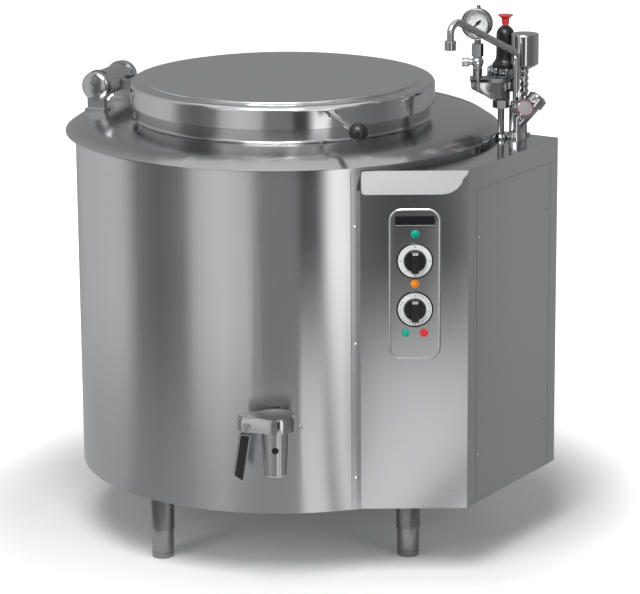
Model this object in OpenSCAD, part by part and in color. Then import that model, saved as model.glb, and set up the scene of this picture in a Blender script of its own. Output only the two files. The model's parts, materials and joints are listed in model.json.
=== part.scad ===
// Electric boiling pan with a steam jacket, a side control box, a balanced lid and a drain tap.
// The origin is on the pan's vertical axis at floor level. Front is -Y and up is +Z.

/* [Casing and worktop] */
// Outer radius of the round casing
casing_r = 445; // [438:1:450]
// Height of the casing's lower edge above the floor
casing_z0 = 154; // [145:1:165]
// Height of the worktop's crest above the floor
worktop_z = 900; // [890:1:915]
// Radius of the worktop's outer edge
deck_r = 466; // [460:1:472]
// Radius of the worktop's crest
crest_r = 441.5; // [436:0.5:446]
// Height of the worktop's bevelled edge
deck_edge_h = 18; // [14:1:22]
// Thickness of sheet metal
sheet_t = 1.5; // [1:0.25:2]

/* [Vessel] */
// Inner radius of the cooking vessel
vessel_r = 300; // [294:1:302]
// Depth of the vessel from its rim to its floor
vessel_depth = 598; // [570:1:605]
// Thickness of the vessel wall
vessel_t = 2.5; // [2:0.5:3]
// Height of the neck's rim above the worktop's crest
neck_h = 45; // [42:1:50]
// Outer radius of the neck
neck_r = 317.5; // [315:0.5:319]
// Outer radius of the steam jacket
jacket_r = 345; // [340:1:350]

/* [Legs] */
// Distance of each leg's axis from the pan's axis, along X and along Y
leg_pos = 262; // [250:1:275]
// Outer radius of a leg tube
leg_r = 25.4; // [23:0.1:27]
// Height of a foot, from the floor to the leg tube
foot_h = 63; // [55:1:70]
// Radius of a foot
foot_r = 23.5; // [21:0.5:25]

/* [Lid] */
// Outer radius of the lid's skirt
lid_r = 327; // [325:1:330]
// Height of the lid's skirt
skirt_h = 46; // [42:1:50]
// Radius of the raised middle of the lid
lid_step_r = 297; // [285:1:305]
// Height of the raised middle above the rim
lid_step_h = 5; // [3:0.5:7]
// Diameter of the ball on the lid's handle
ball_d = 40; // [34:1:44]
// Distance of the ball's centre from the pan's axis
ball_pos = 480; // [450:1:500]
// Direction of the lid's handle, in degrees from the front towards the right
handle_turn = 19; // [10:1:30]

/* [Hinge] */
// Direction of the hinge from the pan's axis, in degrees from +X
hinge_az = 159.3; // [150:0.1:170]
// Distance of the hinge's axis from the pan's axis
hinge_r = 406; // [402:1:410]
// Height of the hinge's axis above the worktop's crest
hinge_h = 57; // [55:1:60]
// Radius of the hinge's barrel
barrel_r = 29; // [27:0.5:30]
// Length of the turning barrel
barrel_len = 112; // [104:1:120]
// Length of the straight part of each end cap
cap_len = 18; // [14:1:22]

/* [Control box] */
// Left edge of the box's front face
box_x0 = 160; // [150:1:170]
// Width of the box's front face
box_front_w = 220; // [212:1:230]
// Angle of the side face from +X
box_side_angle = 57.5; // [54:0.5:60]
// Length of the side face
box_side_w = 381; // [365:1:390]
// Gap between the worktop's edge and the top of the box
box_gap = 10; // [8:1:14]
// Drop of the splash visor over the front face
visor_drop = 45; // [36:1:60]
// How far the visor's lower edge stands off the front face
visor_out = 18; // [12:1:24]
// Width of the control plate
plate_w = 107; // [100:1:115]
// Height of the control plate
plate_h = 317; // [305:1:325]
// Distance from the worktop's crest down to the plate's top
plate_drop = 106; // [100:1:120]
// Diameter of a dial ring
dial_d = 70; // [64:1:76]
// Diameter of a knob
knob_d = 47; // [42:1:50]

/* [Drain tap] */
// Position of the tap's vertical axis to the right of the pan's axis
tap_x = -16; // [-30:1:0]
// Distance of the tap's vertical axis in front of the casing
tap_out = 50; // [48:1:58]
// Height of the vessel's floor above the drain's centre line
drain_drop = 26; // [24:1:29]
// Bore radius of the drain pipe
drain_r = 16; // [14:0.5:17]
// Radius of the tap's round cap
tap_cap_r = 40; // [38:0.5:42]
// Length of the grip that hangs from the tap's lever
grip_len = 97; // [85:1:105]

/* [Water and safety group] */
// Diameter of the pressure gauge
gauge_d = 63; // [58:1:66]
// Angle by which the gauge's face is turned to the left
gauge_turn = 24; // [10:1:30]
// Diameter of the safety valve's cap
valve_d = 38; // [34:1:40]
// Diameter of the filling cup
cup_d = 59; // [54:1:60]
// Diameter of the swivel spout's pipe
spout_d = 15; // [14:0.5:16]
// Reach of the swivel spout over the pan
spout_reach = 202; // [180:1:215]
// Running clearance between a shaft and its hole, on the radius
run = 0.05; // [0.03:0.01:0.08]

/* [Hidden] */
$fn = 64;
steel = [0.72, 0.73, 0.74];
chrome = [0.85, 0.86, 0.88];
black = [0.08, 0.08, 0.09];
seat = 0.3;
eps = 0.01;

deck_edge_z = worktop_z - deck_edge_h;
rim_z = worktop_z + neck_h;
neck_foot_z = worktop_z + 9;
floor_z = rim_z - vessel_depth;
drain_z = floor_z - drain_drop;
// Where the vessel's sump meets the drain pipe
sump_joint_z = drain_z + drain_r + 3.6;
jacket_top_z = worktop_z - 60;
jacket_z0 = drain_z - 101;
box_top_z = deck_edge_z - box_gap;
side_top_h = 48;
hinge_z = worktop_z + hinge_h;
lid_z0 = rim_z - 5;
lid_top_z = lid_z0 + skirt_h;
lid_t = 2;

// Vectors and outlines
function unit(v) = v / norm(v);
function left_of(v) = [-v[1], v[0]];
function seg_left(p, i) = left_of(unit(p[i + 1] - p[i]));
function shifted(p, i, t) =
    let (n = len(p) - 1,
         a = seg_left(p, max(i - 1, 0)),
         b = seg_left(p, min(i, n - 1)),
         m = unit(a + b))
    p[i] + m * t / (m * a);
// A band of thickness t on the left of an open path
function strip(p, t) = concat(p, [for (i = [len(p) - 1 : -1 : 0]) shifted(p, i, t)]);
function arc(c, r, a0, a1, n = 6) =
    [for (i = [0 : n]) c + r * [cos(a0 + (a1 - a0) * i / n), sin(a0 + (a1 - a0) * i / n)]];

module spun(path, t) {
    rotate_extrude($fn = 120) polygon(strip(path, t));
}
module tube(ro, ri, h) {
    difference() {
        cylinder(r = ro, h = h);
        translate([0, 0, -1]) cylinder(r = ri, h = h + 2);
    }
}
// Turns a shape that points up so that it points to the front
module to_front() { rotate([90, 0, 0]) children(); }

// Round body
tap_y = -(casing_r + tap_out);
heater_az = -32;
module outer_casing() {
    color(steel) difference() {
        spun([[casing_r - 22, casing_z0], [casing_r, casing_z0], [casing_r, deck_edge_z]], sheet_t);
        translate([tap_x, -casing_r + 60, drain_z]) to_front() cylinder(r = drain_r + 6.5, h = 120);
        rotate([0, 0, heater_az]) translate([casing_r - 30, 0, heater_z])
            rotate([0, 90, 0]) cylinder(r = 62, h = 60);
        rotate([0, 0, heater_az]) translate([casing_r - 30, -45, worktop_z - 260]) cube([60, 90, 70]);
        strip_sites() screw_hole();
        casing_sites() screw_hole();
    }
}
module base_plate() {
    color(steel) difference() {
        translate([0, 0, casing_z0 + sheet_t]) cylinder(r = casing_r - sheet_t - seat, h = 3);
        for (a = [30 : 60 : 330]) rotate([0, 0, a])
            translate([casing_r * 0.6, 0, casing_z0]) cylinder(r = 16, h = 10);
    }
}
leg_places = [[1, -1], [-1, -1], [-1, 1], [1, 1]];
spindle_r = 8;
leg_wall = 2;
module at_leg(i) {
    translate([leg_places[i][0] * leg_pos, leg_places[i][1] * leg_pos, 0]) children();
}
module leg_tubes() {
    top_z = casing_z0 + sheet_t;
    color(steel) for (i = [0 : 3]) at_leg(i) difference() {
        union() {
            translate([0, 0, foot_h + seat]) cylinder(r = leg_r, h = top_z - foot_h - seat);
            translate([0, 0, top_z - 4]) cylinder(r = leg_r + 16, h = 4);
        }
        translate([0, 0, foot_h + seat + 14]) cylinder(r = leg_r - leg_wall, h = top_z - foot_h - 14 - 8);
        translate([0, 0, foot_h - 1]) cylinder(r = spindle_r + run, h = 30);
    }
}
module foot(i) {
    color(steel) at_leg(i) {
        cylinder(r = foot_r, h = 12);
        translate([0, 0, 12]) cylinder(r = foot_r - 1, h = 4);
        translate([0, 0, 16]) cylinder(r = foot_r, h = foot_h - 16);
        translate([0, 0, foot_h]) cylinder(r = spindle_r, h = 36);
    }
}
module top_deck() {
    neck_round = 7;
    color(steel) spun(concat(
        [[casing_r - 12, deck_edge_z], [deck_r, deck_edge_z], [deck_r, deck_edge_z + 2],
         [crest_r, worktop_z]],
        arc([neck_r + neck_round, neck_foot_z + neck_round], neck_round, 268, 180),
        [[neck_r, rim_z - sheet_t - 1]]), sheet_t);
}
sump_y = -vessel_r + 34;
sump_r = drain_r + 8;
module vessel() {
    color(steel) difference() {
        union() {
            spun(concat(
                [[neck_r, rim_z - 1], [neck_r - 1, rim_z], [vessel_r + 3, rim_z], [vessel_r, rim_z - 3]],
                arc([vessel_r - 30, floor_z + 30], 30, 0, -86),
                [[40, floor_z + 4], [0, floor_z + 4]]), vessel_t);
            translate([tap_x, sump_y, sump_joint_z]) cylinder(r = sump_r + vessel_t, h = floor_z - 1 - sump_joint_z);
        }
        translate([tap_x, sump_y, sump_joint_z - 10]) cylinder(r = sump_r, h = 120);
    }
}
heater_z = jacket_z0 + 50;
heater_neck_r = 40;
heater_neck = 8;
module steam_jacket() {
    top = jacket_top_z;
    color(steel) difference() {
        spun(concat(
            [[vessel_r + vessel_t + seat, top]],
            arc([jacket_r - 12, top - 12], 12, 90, 0),
            arc([jacket_r - 60, jacket_z0 + 60], 60, 0, -84),
            [[60, jacket_z0 - 6], [0, jacket_z0 - 6]]), -vessel_t);
        translate([tap_x, 0, drain_z]) to_front() cylinder(r = drain_r + 3, h = casing_r);
        rotate([0, 0, heater_az]) translate([jacket_r - 60, 0, heater_z])
            rotate([0, 90, 0]) cylinder(r = heater_neck_r, h = 80);
    }
    color(steel) rotate([0, 0, heater_az]) intersection() {
        translate([0, 0, heater_z]) rotate([0, 90, 0]) tube(heater_neck_r + 4, heater_neck_r, jacket_r + heater_neck);
        difference() {
            translate([0, -casing_r, 0]) cube([casing_r, 2 * casing_r, worktop_z]);
            cylinder(r = jacket_r - 1, h = worktop_z, $fn = 120);
        }
    }
}
module insulation() {
    r_in = jacket_r + seat;
    r_out = casing_r - sheet_t - seat;
    color([0.85, 0.8, 0.55]) difference() {
        translate([0, 0, jacket_z0 + 20]) tube(r_out, r_in, jacket_top_z - jacket_z0 - 40);
        translate([tap_x, 0, drain_z]) to_front() cylinder(r = drain_r + 8, h = casing_r + 20);
        rotate([0, 0, heater_az]) translate([jacket_r - 40, -64, jacket_z0])
            cube([160, 128, 130]);
    }
}
// Three hairpin heaters on one flange, under the vessel
module heating_elements() {
    rod_r = 6;
    span = 46;
    reach = 420;
    face_x = jacket_r + heater_neck;
    color([0.45, 0.43, 0.42]) rotate([0, 0, heater_az]) translate([0, 0, heater_z]) {
        difference() {
            translate([face_x, 0, 0]) rotate([0, 90, 0]) cylinder(r = 56, h = 10);
            for (a = [0 : 45 : 315])
                rotate([a, 0, 0]) translate([jacket_r - 20, 49, 0]) rotate([0, 90, 0]) cylinder(r = 4, h = 60);
        }
        for (y = [-1, 0, 1]) translate([0, y * 21, 0]) {
            for (z = [-1, 1]) translate([face_x - reach, 0, z * span / 4])
                rotate([0, 90, 0]) cylinder(r = rod_r, h = reach + 24);
            translate([face_x - reach, 0, 0]) rotate([90, 0, 0]) rotate([0, 0, 90])
                rotate_extrude(angle = 180, $fn = 32) translate([span / 4, 0]) circle(r = rod_r, $fn = 24);
        }
    }
}
module drain_pipe() {
    wall = 3;
    end_y = tap_y + 26;
    sump_z0 = drain_z - drain_r - 7;
    color(steel) difference() {
        union() {
            translate([tap_x, sump_y, sump_z0]) cylinder(r = sump_r + vessel_t, h = sump_joint_z - sump_z0);
            translate([tap_x, sump_y, drain_z]) to_front() cylinder(r = drain_r + wall, h = sump_y - end_y);
        }
        translate([tap_x, sump_y, sump_z0 + wall]) cylinder(r = sump_r, h = 60);
        translate([tap_x, sump_y, drain_z]) to_front() cylinder(r = drain_r, h = 400);
    }
}

// Where the round body's screws go. Each site's Z points out of the casing.
strip_w = 21;
module strip_sites() {
    for (z = [worktop_z - 144, worktop_z - 391, worktop_z - 679])
        rotate([0, 0, atan2(box_front_y, box_x0 - strip_w / 2)])
            translate([casing_r + 0.2 + sheet_t, 0, z]) rotate([0, 90, 0]) children();
}
module casing_sites() {
    for (s = [-1, 1]) rotate([0, 0, atan2(-casing_r, tap_x + s * 51)])
        translate([casing_r, 0, worktop_z - 560]) rotate([0, 90, 0]) children();
}
module screw_hole() { translate([0, 0, -8]) cylinder(r = 2.05, h = 12); }

// Control box
box_front_y = -sqrt(casing_r * casing_r - box_x0 * box_x0) - sheet_t;
p0 = [box_x0, box_front_y];
p1 = [box_x0 + box_front_w, box_front_y];
side_dir = [cos(box_side_angle), sin(box_side_angle)];
back_dir = [-sin(box_side_angle), cos(box_side_angle)];
p2 = p1 + box_side_w * side_dir;
// Distance from p2 along the back face to a circle of radius r
function back_run(r) =
    let (b = p2 * back_dir, c = p2 * p2 - r * r) -b - sqrt(b * b - c);
p3 = p2 + back_run(casing_r + sheet_t + 0.2) * back_dir;
// The mixer tap stands inside the box's rear corner
mixer_at = p2 + [-90.7, -14.6];
hose_r = 30;
box_h = box_top_z - casing_z0;
corner_w = 34;
rear_corner_w = 32;
cover_gap = 3.5;
return_d = 2 * sheet_t - 0.2;
cover_h = box_h - side_top_h;
lip = 18;
module on_side() {
    translate([p1[0], p1[1], casing_z0]) rotate([0, 0, box_side_angle]) children();
}
module upright(path, h) {
    translate([0, 0, casing_z0]) linear_extrude(height = h) polygon(strip(path, sheet_t));
}
plate_z0 = worktop_z - plate_drop - plate_h;
plate_x = box_x0 + box_front_w / 2 + 1;
plate_out = 5;
selector_z = worktop_z - 214;
thermostat_z = worktop_z - 316;
lamp_r = 6;
lamp_list = [[0, worktop_z - 158], [-19, worktop_z - 366]];
orange_at = [0, worktop_z - 262];
red_at = [19, worktop_z - 366];
// A hole through the front panel and the control plate
module panel_hole(at, r) {
    translate([plate_x + at[0], box_front_y + 20, at[1]]) to_front() cylinder(r = r, h = 60);
}
module panel_holes(shaft_r, jewel_r) {
    for (z = [selector_z, thermostat_z]) panel_hole([0, z], shaft_r);
    for (at = concat(lamp_list, [orange_at, red_at])) panel_hole(at, jewel_r);
}
strip_turn = atan2(box_front_y, box_x0 - strip_w);
module front_panel() {
    color(steel) difference() {
        union() {
            rotate([0, 0, strip_turn]) translate([0, 0, casing_z0])
                rotate_extrude(angle = atan2(box_front_y, box_x0) - strip_turn, $fn = 120)
                    translate([casing_r + 0.2, 0]) square([sheet_t, box_h]);
            upright([p0 + [-0.3, 0], p1, p1 + corner_w * side_dir,
                     p1 + corner_w * side_dir + return_d * back_dir], box_h - sheet_t);
        }
        panel_holes(8, lamp_r + 1);
        strip_sites() screw_hole();
    }
}
module box_frame() {
    s1 = box_side_w - rear_corner_w;
    rail_y = 2 * sheet_t;
    color(steel) difference() {
        box_sheets(s1, rail_y);
        for (at = cover_screws) on_side() translate([at[0], 10, at[1]]) to_front() cylinder(r = 2.05, h = 12);
    }
}
module box_sheets(s1, rail_y) {
    {
        upright([p1 + s1 * side_dir + return_d * back_dir, p1 + s1 * side_dir, p2, p3], box_h - sheet_t);
        on_side() {
            // Top rail over the cover, and the flanges behind the cover's edges
            translate([corner_w + seat, 0, cover_h + cover_gap])
                cube([s1 - corner_w, sheet_t, side_top_h - cover_gap - sheet_t]);
            translate([corner_w + seat, sheet_t, cover_h - lip])
                cube([s1 - corner_w, sheet_t, lip + side_top_h - sheet_t]);
            translate([corner_w + seat, sheet_t, 0]) cube([s1 - corner_w, sheet_t, lip]);
            for (s = [corner_w - lip / 2, s1 - lip]) translate([s, rail_y, 0])
                cube([lip * 1.5, sheet_t, box_h - sheet_t]);
        }
        // Floor of the box
        translate([0, 0, casing_z0]) linear_extrude(height = sheet_t) difference() {
            polygon([p0 + [2, 2], p1 + [-2, 2], p1 + corner_w * side_dir + 2 * back_dir,
                     p1 + (corner_w + 2) * side_dir + rail_y * back_dir, p2 + rail_y * back_dir - sheet_t * side_dir,
                     p3 - 0.5 * side_dir, [0, 0]]);
            circle(r = casing_r + sheet_t + 0.5, $fn = 120);
            // Hole for the supply hose and cable
            translate(mixer_at) circle(r = hose_r);
        }
    }
}
cover_screws = [[corner_w + 12, 105], [corner_w + 12, 571],
                [box_side_w - rear_corner_w - 12, 105], [box_side_w - rear_corner_w - 12, 571]];
module side_cover() {
    color(steel) difference() {
        on_side() translate([corner_w + 1, 0, 0])
            cube([box_side_w - corner_w - rear_corner_w - 2, sheet_t - 0.1, cover_h]);
        for (at = cover_screws) on_side() translate([at[0], 10, at[1]]) to_front() cylinder(r = 2.6, h = 20);
    }
}
visor_corner_r = 8;
visor_sweep = 58;
module box_top() {
    visor_len = norm([visor_drop, visor_out]);
    visor_lean = atan2(visor_out, visor_drop);
    plan = [p0, p1, p2, p3, [casing_r * 0.5, -casing_r * 0.3]];
    color(steel) {
        difference() {
            translate([0, 0, box_top_z - sheet_t]) linear_extrude(height = sheet_t) difference() {
                polygon(plan);
                circle(r = casing_r + sheet_t + 0.4, $fn = 120);
            }
            translate([mixer_at[0], mixer_at[1], box_top_z - 5]) cylinder(r = 11, h = 10);
            translate([riser_at[0], riser_at[1], box_top_z - 5]) cylinder(r = 9, h = 10);
            translate([cup_at[0], cup_at[1], box_top_z - 5]) cylinder(r = 9, h = 10);
        }
        // Splash visor, with a small corner on the left and a long sweep on the right
        translate([0, box_front_y + 0.3, box_top_z - 0.4]) rotate([-visor_lean, 0, 0])
            rotate([90, 0, 0]) linear_extrude(height = sheet_t) polygon(concat(
                [[p0[0] + 2, 0], [p0[0] + 2, -visor_len + visor_corner_r]],
                arc([p0[0] + 2 + visor_corner_r, -visor_len + visor_corner_r], visor_corner_r, 180, 270),
                [for (a = [0 : 7.5 : 82.5])
                    [p1[0] - visor_sweep + visor_sweep * sin(a) * 0.8, -visor_len + (visor_len - 12) * (1 - cos(a))]],
                [[p1[0] - 3, -8], [p1[0], 0]]));
    }
}
module rounded(w, h, r) {
    translate([r, 0]) square([w - 2 * r, h]);
    translate([0, r]) square([w, h - 2 * r]);
    for (x = [r, w - r], y = [r, h - r]) translate([x, y]) circle(r = r);
}
module control_plate() {
    corner = 26;
    bevel = 5;
    color(steel) difference() {
        translate([plate_x - plate_w / 2, box_front_y, plate_z0]) rotate([90, 0, 0]) hull() {
            linear_extrude(height = 1) rounded(plate_w, plate_h, corner, $fn = 48);
            translate([bevel, bevel, 0]) linear_extrude(height = plate_out)
                rounded(plate_w - 2 * bevel, plate_h - 2 * bevel, corner - bevel, $fn = 48);
        }
        panel_holes(8, lamp_r + 0.3);
    }
}
dial_t = 2;
plate_y = box_front_y - plate_out;
module dial_rings() {
    color([0.82, 0.84, 0.84]) for (z = [selector_z, thermostat_z])
        translate([plate_x, plate_y, z]) to_front() tube(dial_d / 2, 8, dial_t);
}
knob_h = 24;
shaft_r = 3;
module knob(z) {
    flange_h = 6;
    bar_w = 15;
    color(black) translate([plate_x, plate_y - dial_t - seat, z]) to_front() {
        cylinder(r1 = knob_d / 2, r2 = knob_d / 2 - 1.5, h = flange_h);
        intersection() {
            cylinder(r = knob_d / 2 - 2, h = knob_h);
            translate([-bar_w / 2, -knob_d / 2, 0]) cube([bar_w, knob_d, knob_h]);
        }
        translate([0, 0, -plate_out - dial_t - 12]) cylinder(r = shaft_r, h = plate_out + dial_t + 13);
    }
}
module switch_gear() {
    back_y = box_front_y + sheet_t;
    color([0.3, 0.3, 0.32]) for (z = [selector_z, thermostat_z]) difference() {
        union() {
            translate([plate_x - 24, back_y, z - 24]) cube([48, 38, 48]);
            translate([plate_x, back_y + eps, z]) to_front() cylinder(r = 7, h = sheet_t + 2);
        }
        translate([plate_x, back_y + 20, z]) to_front() cylinder(r = shaft_r + run, h = 40);
    }
    // Contactors on an angle plate that stands on the box's floor, in front of the supply hose's way
    gear_x = (mixer_at - p1) * side_dir - hose_r - 3;
    color([0.25, 0.25, 0.27]) on_side() {
        translate([gear_x, 12, sheet_t]) cube([2, 86, 518]);
        translate([gear_x - 40, 12, sheet_t]) cube([41, 86, 2]);
        for (z = [290, 380, 470], y = [sheet_t + 18, sheet_t + 56])
            translate([gear_x - 70, y, z]) cube([71, 36, 42]);
    }
}
module lamp(at) {
    translate([plate_x + at[0], plate_y, at[1]]) to_front() {
        cylinder(r = lamp_r + 2.5, h = 1.6);
        translate([0, 0, 1.6]) cylinder(r1 = lamp_r + 0.8, r2 = lamp_r - 2.5, h = 3.4);
        translate([0, 0, -plate_out - 26]) cylinder(r = lamp_r, h = plate_out + 26);
    }
}
module screw_head(shank = 3) {
    difference() {
        union() {
            cylinder(r1 = 4.5, r2 = 2.6, h = 2.2);
            translate([0, 0, -shank]) cylinder(r = 2, h = shank);
        }
        translate([0, 0, 1.2]) cube([5, 1, 3], center = true);
    }
}
module panel_screws() {
    color(chrome) {
        strip_sites() screw_head();
        casing_sites() screw_head(sheet_t);
        for (at = cover_screws) on_side() translate([at[0], -eps, at[1]]) to_front() screw_head(6);
    }
}

// Lid
module lid_shell() {
    round_r = 10;
    step_round = 3;
    color(steel) spun(concat(
        [[lid_r - 4, lid_z0], [lid_r, lid_z0]],
        arc([lid_r - round_r, lid_top_z - round_r], round_r, 0, 88),
        [[lid_step_r + step_round + 3, lid_top_z]],
        arc([lid_step_r - step_round, lid_top_z + lid_step_h - step_round], step_round, 0, 90, 4),
        [[0, lid_top_z + lid_step_h]]), lid_t);
}
module lid_liner() {
    z0 = rim_z + seat + lid_t / 2;
    color(steel) spun([[lid_r - lid_t - seat, lid_z0 + 4], [lid_r - lid_t - seat, z0 + 2],
                       [lid_r - 8, z0], [vessel_r - 6, z0], [vessel_r - 40, z0 + 14], [60, z0 + 20], [0, z0 + 20]], lid_t / 2);
}
handle_az = -90 + handle_turn;
handle_z = lid_z0 + 27;
handle_r = 7;
module lid_handle() {
    z_drop = 7;
    run_x = ball_pos - lid_r;
    color(chrome) difference() {
        rotate([0, 0, handle_az]) translate([lid_r - 1, 0, handle_z]) rotate([0, 90 + atan2(z_drop, run_x), 0]) {
            cylinder(r = handle_r, h = run_x - ball_d / 2 + 4);
            translate([0, 0, -2]) cylinder(r1 = handle_r + 5, r2 = handle_r, h = 9);
            cylinder(r = 4, h = run_x - 2);
        }
        translate([0, 0, handle_z - 30]) cylinder(r = lid_r + eps, h = 60, $fn = 180);
    }
}
module lid_ball() {
    z_drop = 7;
    color(black) rotate([0, 0, handle_az]) difference() {
        translate([ball_pos, 0, handle_z - z_drop]) sphere(d = ball_d);
        translate([lid_r - 1, 0, handle_z]) rotate([0, 90 + atan2(z_drop, ball_pos - lid_r), 0]) {
            cylinder(r = handle_r + 0.1, h = ball_pos - lid_r - ball_d / 2 + 4.2);
            cylinder(r = 4.1, h = ball_pos - lid_r - 1.5);
        }
    }
}

// Balanced hinge. In its own frame the axis runs along Y and X points away from the pan.
module at_hinge() {
    rotate([0, 0, hinge_az]) translate([hinge_r, 0, hinge_z]) children();
}
// Turns a shape that points up so that it lies along the hinge's axis
module along_hinge(y0) { translate([0, y0, 0]) rotate([-90, 0, 0]) children(); }
hinge_shaft_r = 8;
cap_r = barrel_r + 3;
cap_y = barrel_len / 2 + 1;
// Height of the worktop under the hinge, from the hinge's axis
deck_under = worktop_z + (neck_foot_z - worktop_z) * (crest_r - hinge_r) / (crest_r - neck_r) - hinge_z;
module hinge_barrel() {
    color(steel) at_hinge() difference() {
        along_hinge(-barrel_len / 2) cylinder(r = barrel_r, h = barrel_len);
        along_hinge(-barrel_len / 2 + 5) cylinder(r = barrel_r - 3, h = barrel_len - 10);
        along_hinge(-barrel_len) cylinder(r = hinge_shaft_r + run, h = 2 * barrel_len);
    }
}
module barrel_caps() {
    dome = 12;
    color(chrome) at_hinge() for (side = [0, 1]) mirror([0, side, 0]) difference() {
        along_hinge(cap_y) union() {
            cylinder(r = cap_r + 1.5, h = 3);
            cylinder(r = cap_r, h = cap_len);
            translate([0, 0, cap_len - eps]) rotate_extrude(convexity = 2)
                polygon(concat([[0, 0], [cap_r, 0]],
                    [for (a = [15 : 15 : 75]) [cap_r * cos(a), dome * sin(a)]], [[2.5, dome], [2, dome - 1.5], [0, dome - 1.5]]));
        }
        along_hinge(cap_y - 1) cylinder(r = hinge_shaft_r, h = cap_len - 2);
    }
}
module hinge_shaft() {
    color(steel) at_hinge() along_hinge(-cap_y - cap_len + 3) cylinder(r = hinge_shaft_r, h = 2 * (cap_y + cap_len - 3));
}
// A coil of wire round the shaft, swept along its own helix
module hinge_spring() {
    coil_r = 16;
    wire_r = 2.5;
    turns = 12;
    per_turn = 12;
    sides = 6;
    pitch = (barrel_len - 10 - 2 * wire_r - 0.6) / turns;
    rings = turns * per_turn;
    points = [for (i = [0 : rings], j = [0 : sides - 1])
        let (a = 360 * i / per_turn, b = 360 * j / sides, r = coil_r + wire_r * cos(b))
        [r * cos(a), -pitch * turns / 2 + pitch * i / per_turn + wire_r * sin(b), r * sin(a)]];
    faces = concat(
        [[for (j = [0 : sides - 1]) j]],
        [for (i = [0 : rings - 1], j = [0 : sides - 1])
            let (k = (j + 1) % sides) [i * sides + k, i * sides + j, (i + 1) * sides + j, (i + 1) * sides + k]],
        [[for (j = [sides - 1 : -1 : 0]) rings * sides + j]]);
    color([0.4, 0.4, 0.42]) at_hinge() polyhedron(points, faces);
}
pedestal_t = 14;
module hinge_pedestals() {
    foot_t = 4;
    half_w = 20;
    color(steel) at_hinge() for (side = [0, 1]) mirror([0, side, 0]) difference() {
        union() {
            translate([-half_w, cap_y + 4, deck_under + 1.5]) cube([2 * half_w, pedestal_t, -deck_under - 6]);
            translate([-half_w - 3, cap_y - 8, deck_under - 4]) cube([2 * half_w + 6, pedestal_t + 20, foot_t + 6]);
        }
        along_hinge(cap_y - 20) cylinder(r = cap_r, h = 100);
        translate([-hinge_r, 0, -hinge_z]) rotate_extrude($fn = 120)
            polygon([[neck_r + 6.8, 0], [crest_r, 0], [crest_r, worktop_z + 0.05], [neck_r + 6.8, neck_foot_z + 0.05]]);
    }
}
arm_gap = 25;
module lid_arms() {
    arm_t = 9;
    skirt_x = hinge_r - lid_r;
    color(steel) at_hinge() difference() {
        union() {
            for (y = [-arm_gap, arm_gap]) translate([-skirt_x - 10, y - arm_t / 2, -12]) cube([skirt_x + 10, arm_t, 22]);
            translate([-skirt_x - 10, -arm_gap - 16, -10]) cube([18, 2 * arm_gap + 32, 28]);
            for (y = [-arm_gap, arm_gap], x = [-skirt_x + 14, -skirt_x + 34])
                translate([x, y, 8]) cylinder(r = 4.5, h = 5, $fn = 24);
        }
        along_hinge(-barrel_len) cylinder(r = barrel_r, h = 2 * barrel_len);
        translate([-hinge_r, 0, -100]) cylinder(r = lid_r, h = 200, $fn = 120);
    }
}

// Drain tap. Its parts turn about the tap's vertical axis, or about the grip's pin.
tap_top_z = drain_z + 31;
tap_h = 96;
plug_r = 22;
lever_h = 30;
pin_x = -58;
pin_z = 10;
arm_end_x = -60;
arm_end_r = 17;
module at_tap() { translate([tap_x, tap_y, 0]) children(); }
module tap_body() {
    top_r = 29;
    foot_r2 = 24.5;
    color(chrome) at_tap() difference() {
        union() {
            translate([0, 0, tap_top_z - tap_h]) cylinder(r1 = foot_r2 - 1.5, r2 = foot_r2, h = 2);
            translate([0, 0, tap_top_z - tap_h + 2]) cylinder(r1 = foot_r2, r2 = top_r, h = tap_h - 2);
            translate([0, 0, drain_z]) rotate([-90, 0, 0]) cylinder(r = 24, h = tap_out - 1);
            translate([0, tap_out - 10, drain_z]) rotate([-90, 0, 0]) cylinder(r = 30, h = 9, $fn = 6);
        }
        translate([0, 0, tap_top_z - tap_h - 1]) cylinder(r = plug_r - 2, h = tap_h + 2);
        translate([0, 0, tap_top_z - 60]) cylinder(r = plug_r + run, h = 80);
        translate([0, 10, drain_z]) rotate([-90, 0, 0]) cylinder(r = drain_r, h = 60);
        translate([0, 26, drain_z]) rotate([-90, 0, 0]) cylinder(r = drain_r + 3 + eps, h = 60);
        translate([0, -10, tap_top_z - 38]) to_front() cylinder(r = 7, h = 60);
        for (s = [-1, 1]) translate([s * 27, -13, tap_top_z - tap_h + 7]) rotate([0, s * 2.6, 0]) cylinder(r = 1.8, h = tap_h);
    }
}
module tap_plug() {
    color(chrome) at_tap() difference() {
        union() {
            translate([0, 0, tap_top_z - 59.5]) cylinder(r = plug_r, h = 59.5);
            translate([0, 0, tap_top_z - eps]) cylinder(r = 11, h = 20);
        }
        translate([0, 0, tap_top_z - 70]) cylinder(r = plug_r - 5, h = 60);
        translate([0, 0, drain_z]) rotate([0, 90, 0]) cylinder(r = drain_r - 2, h = 60);
    }
}
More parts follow.
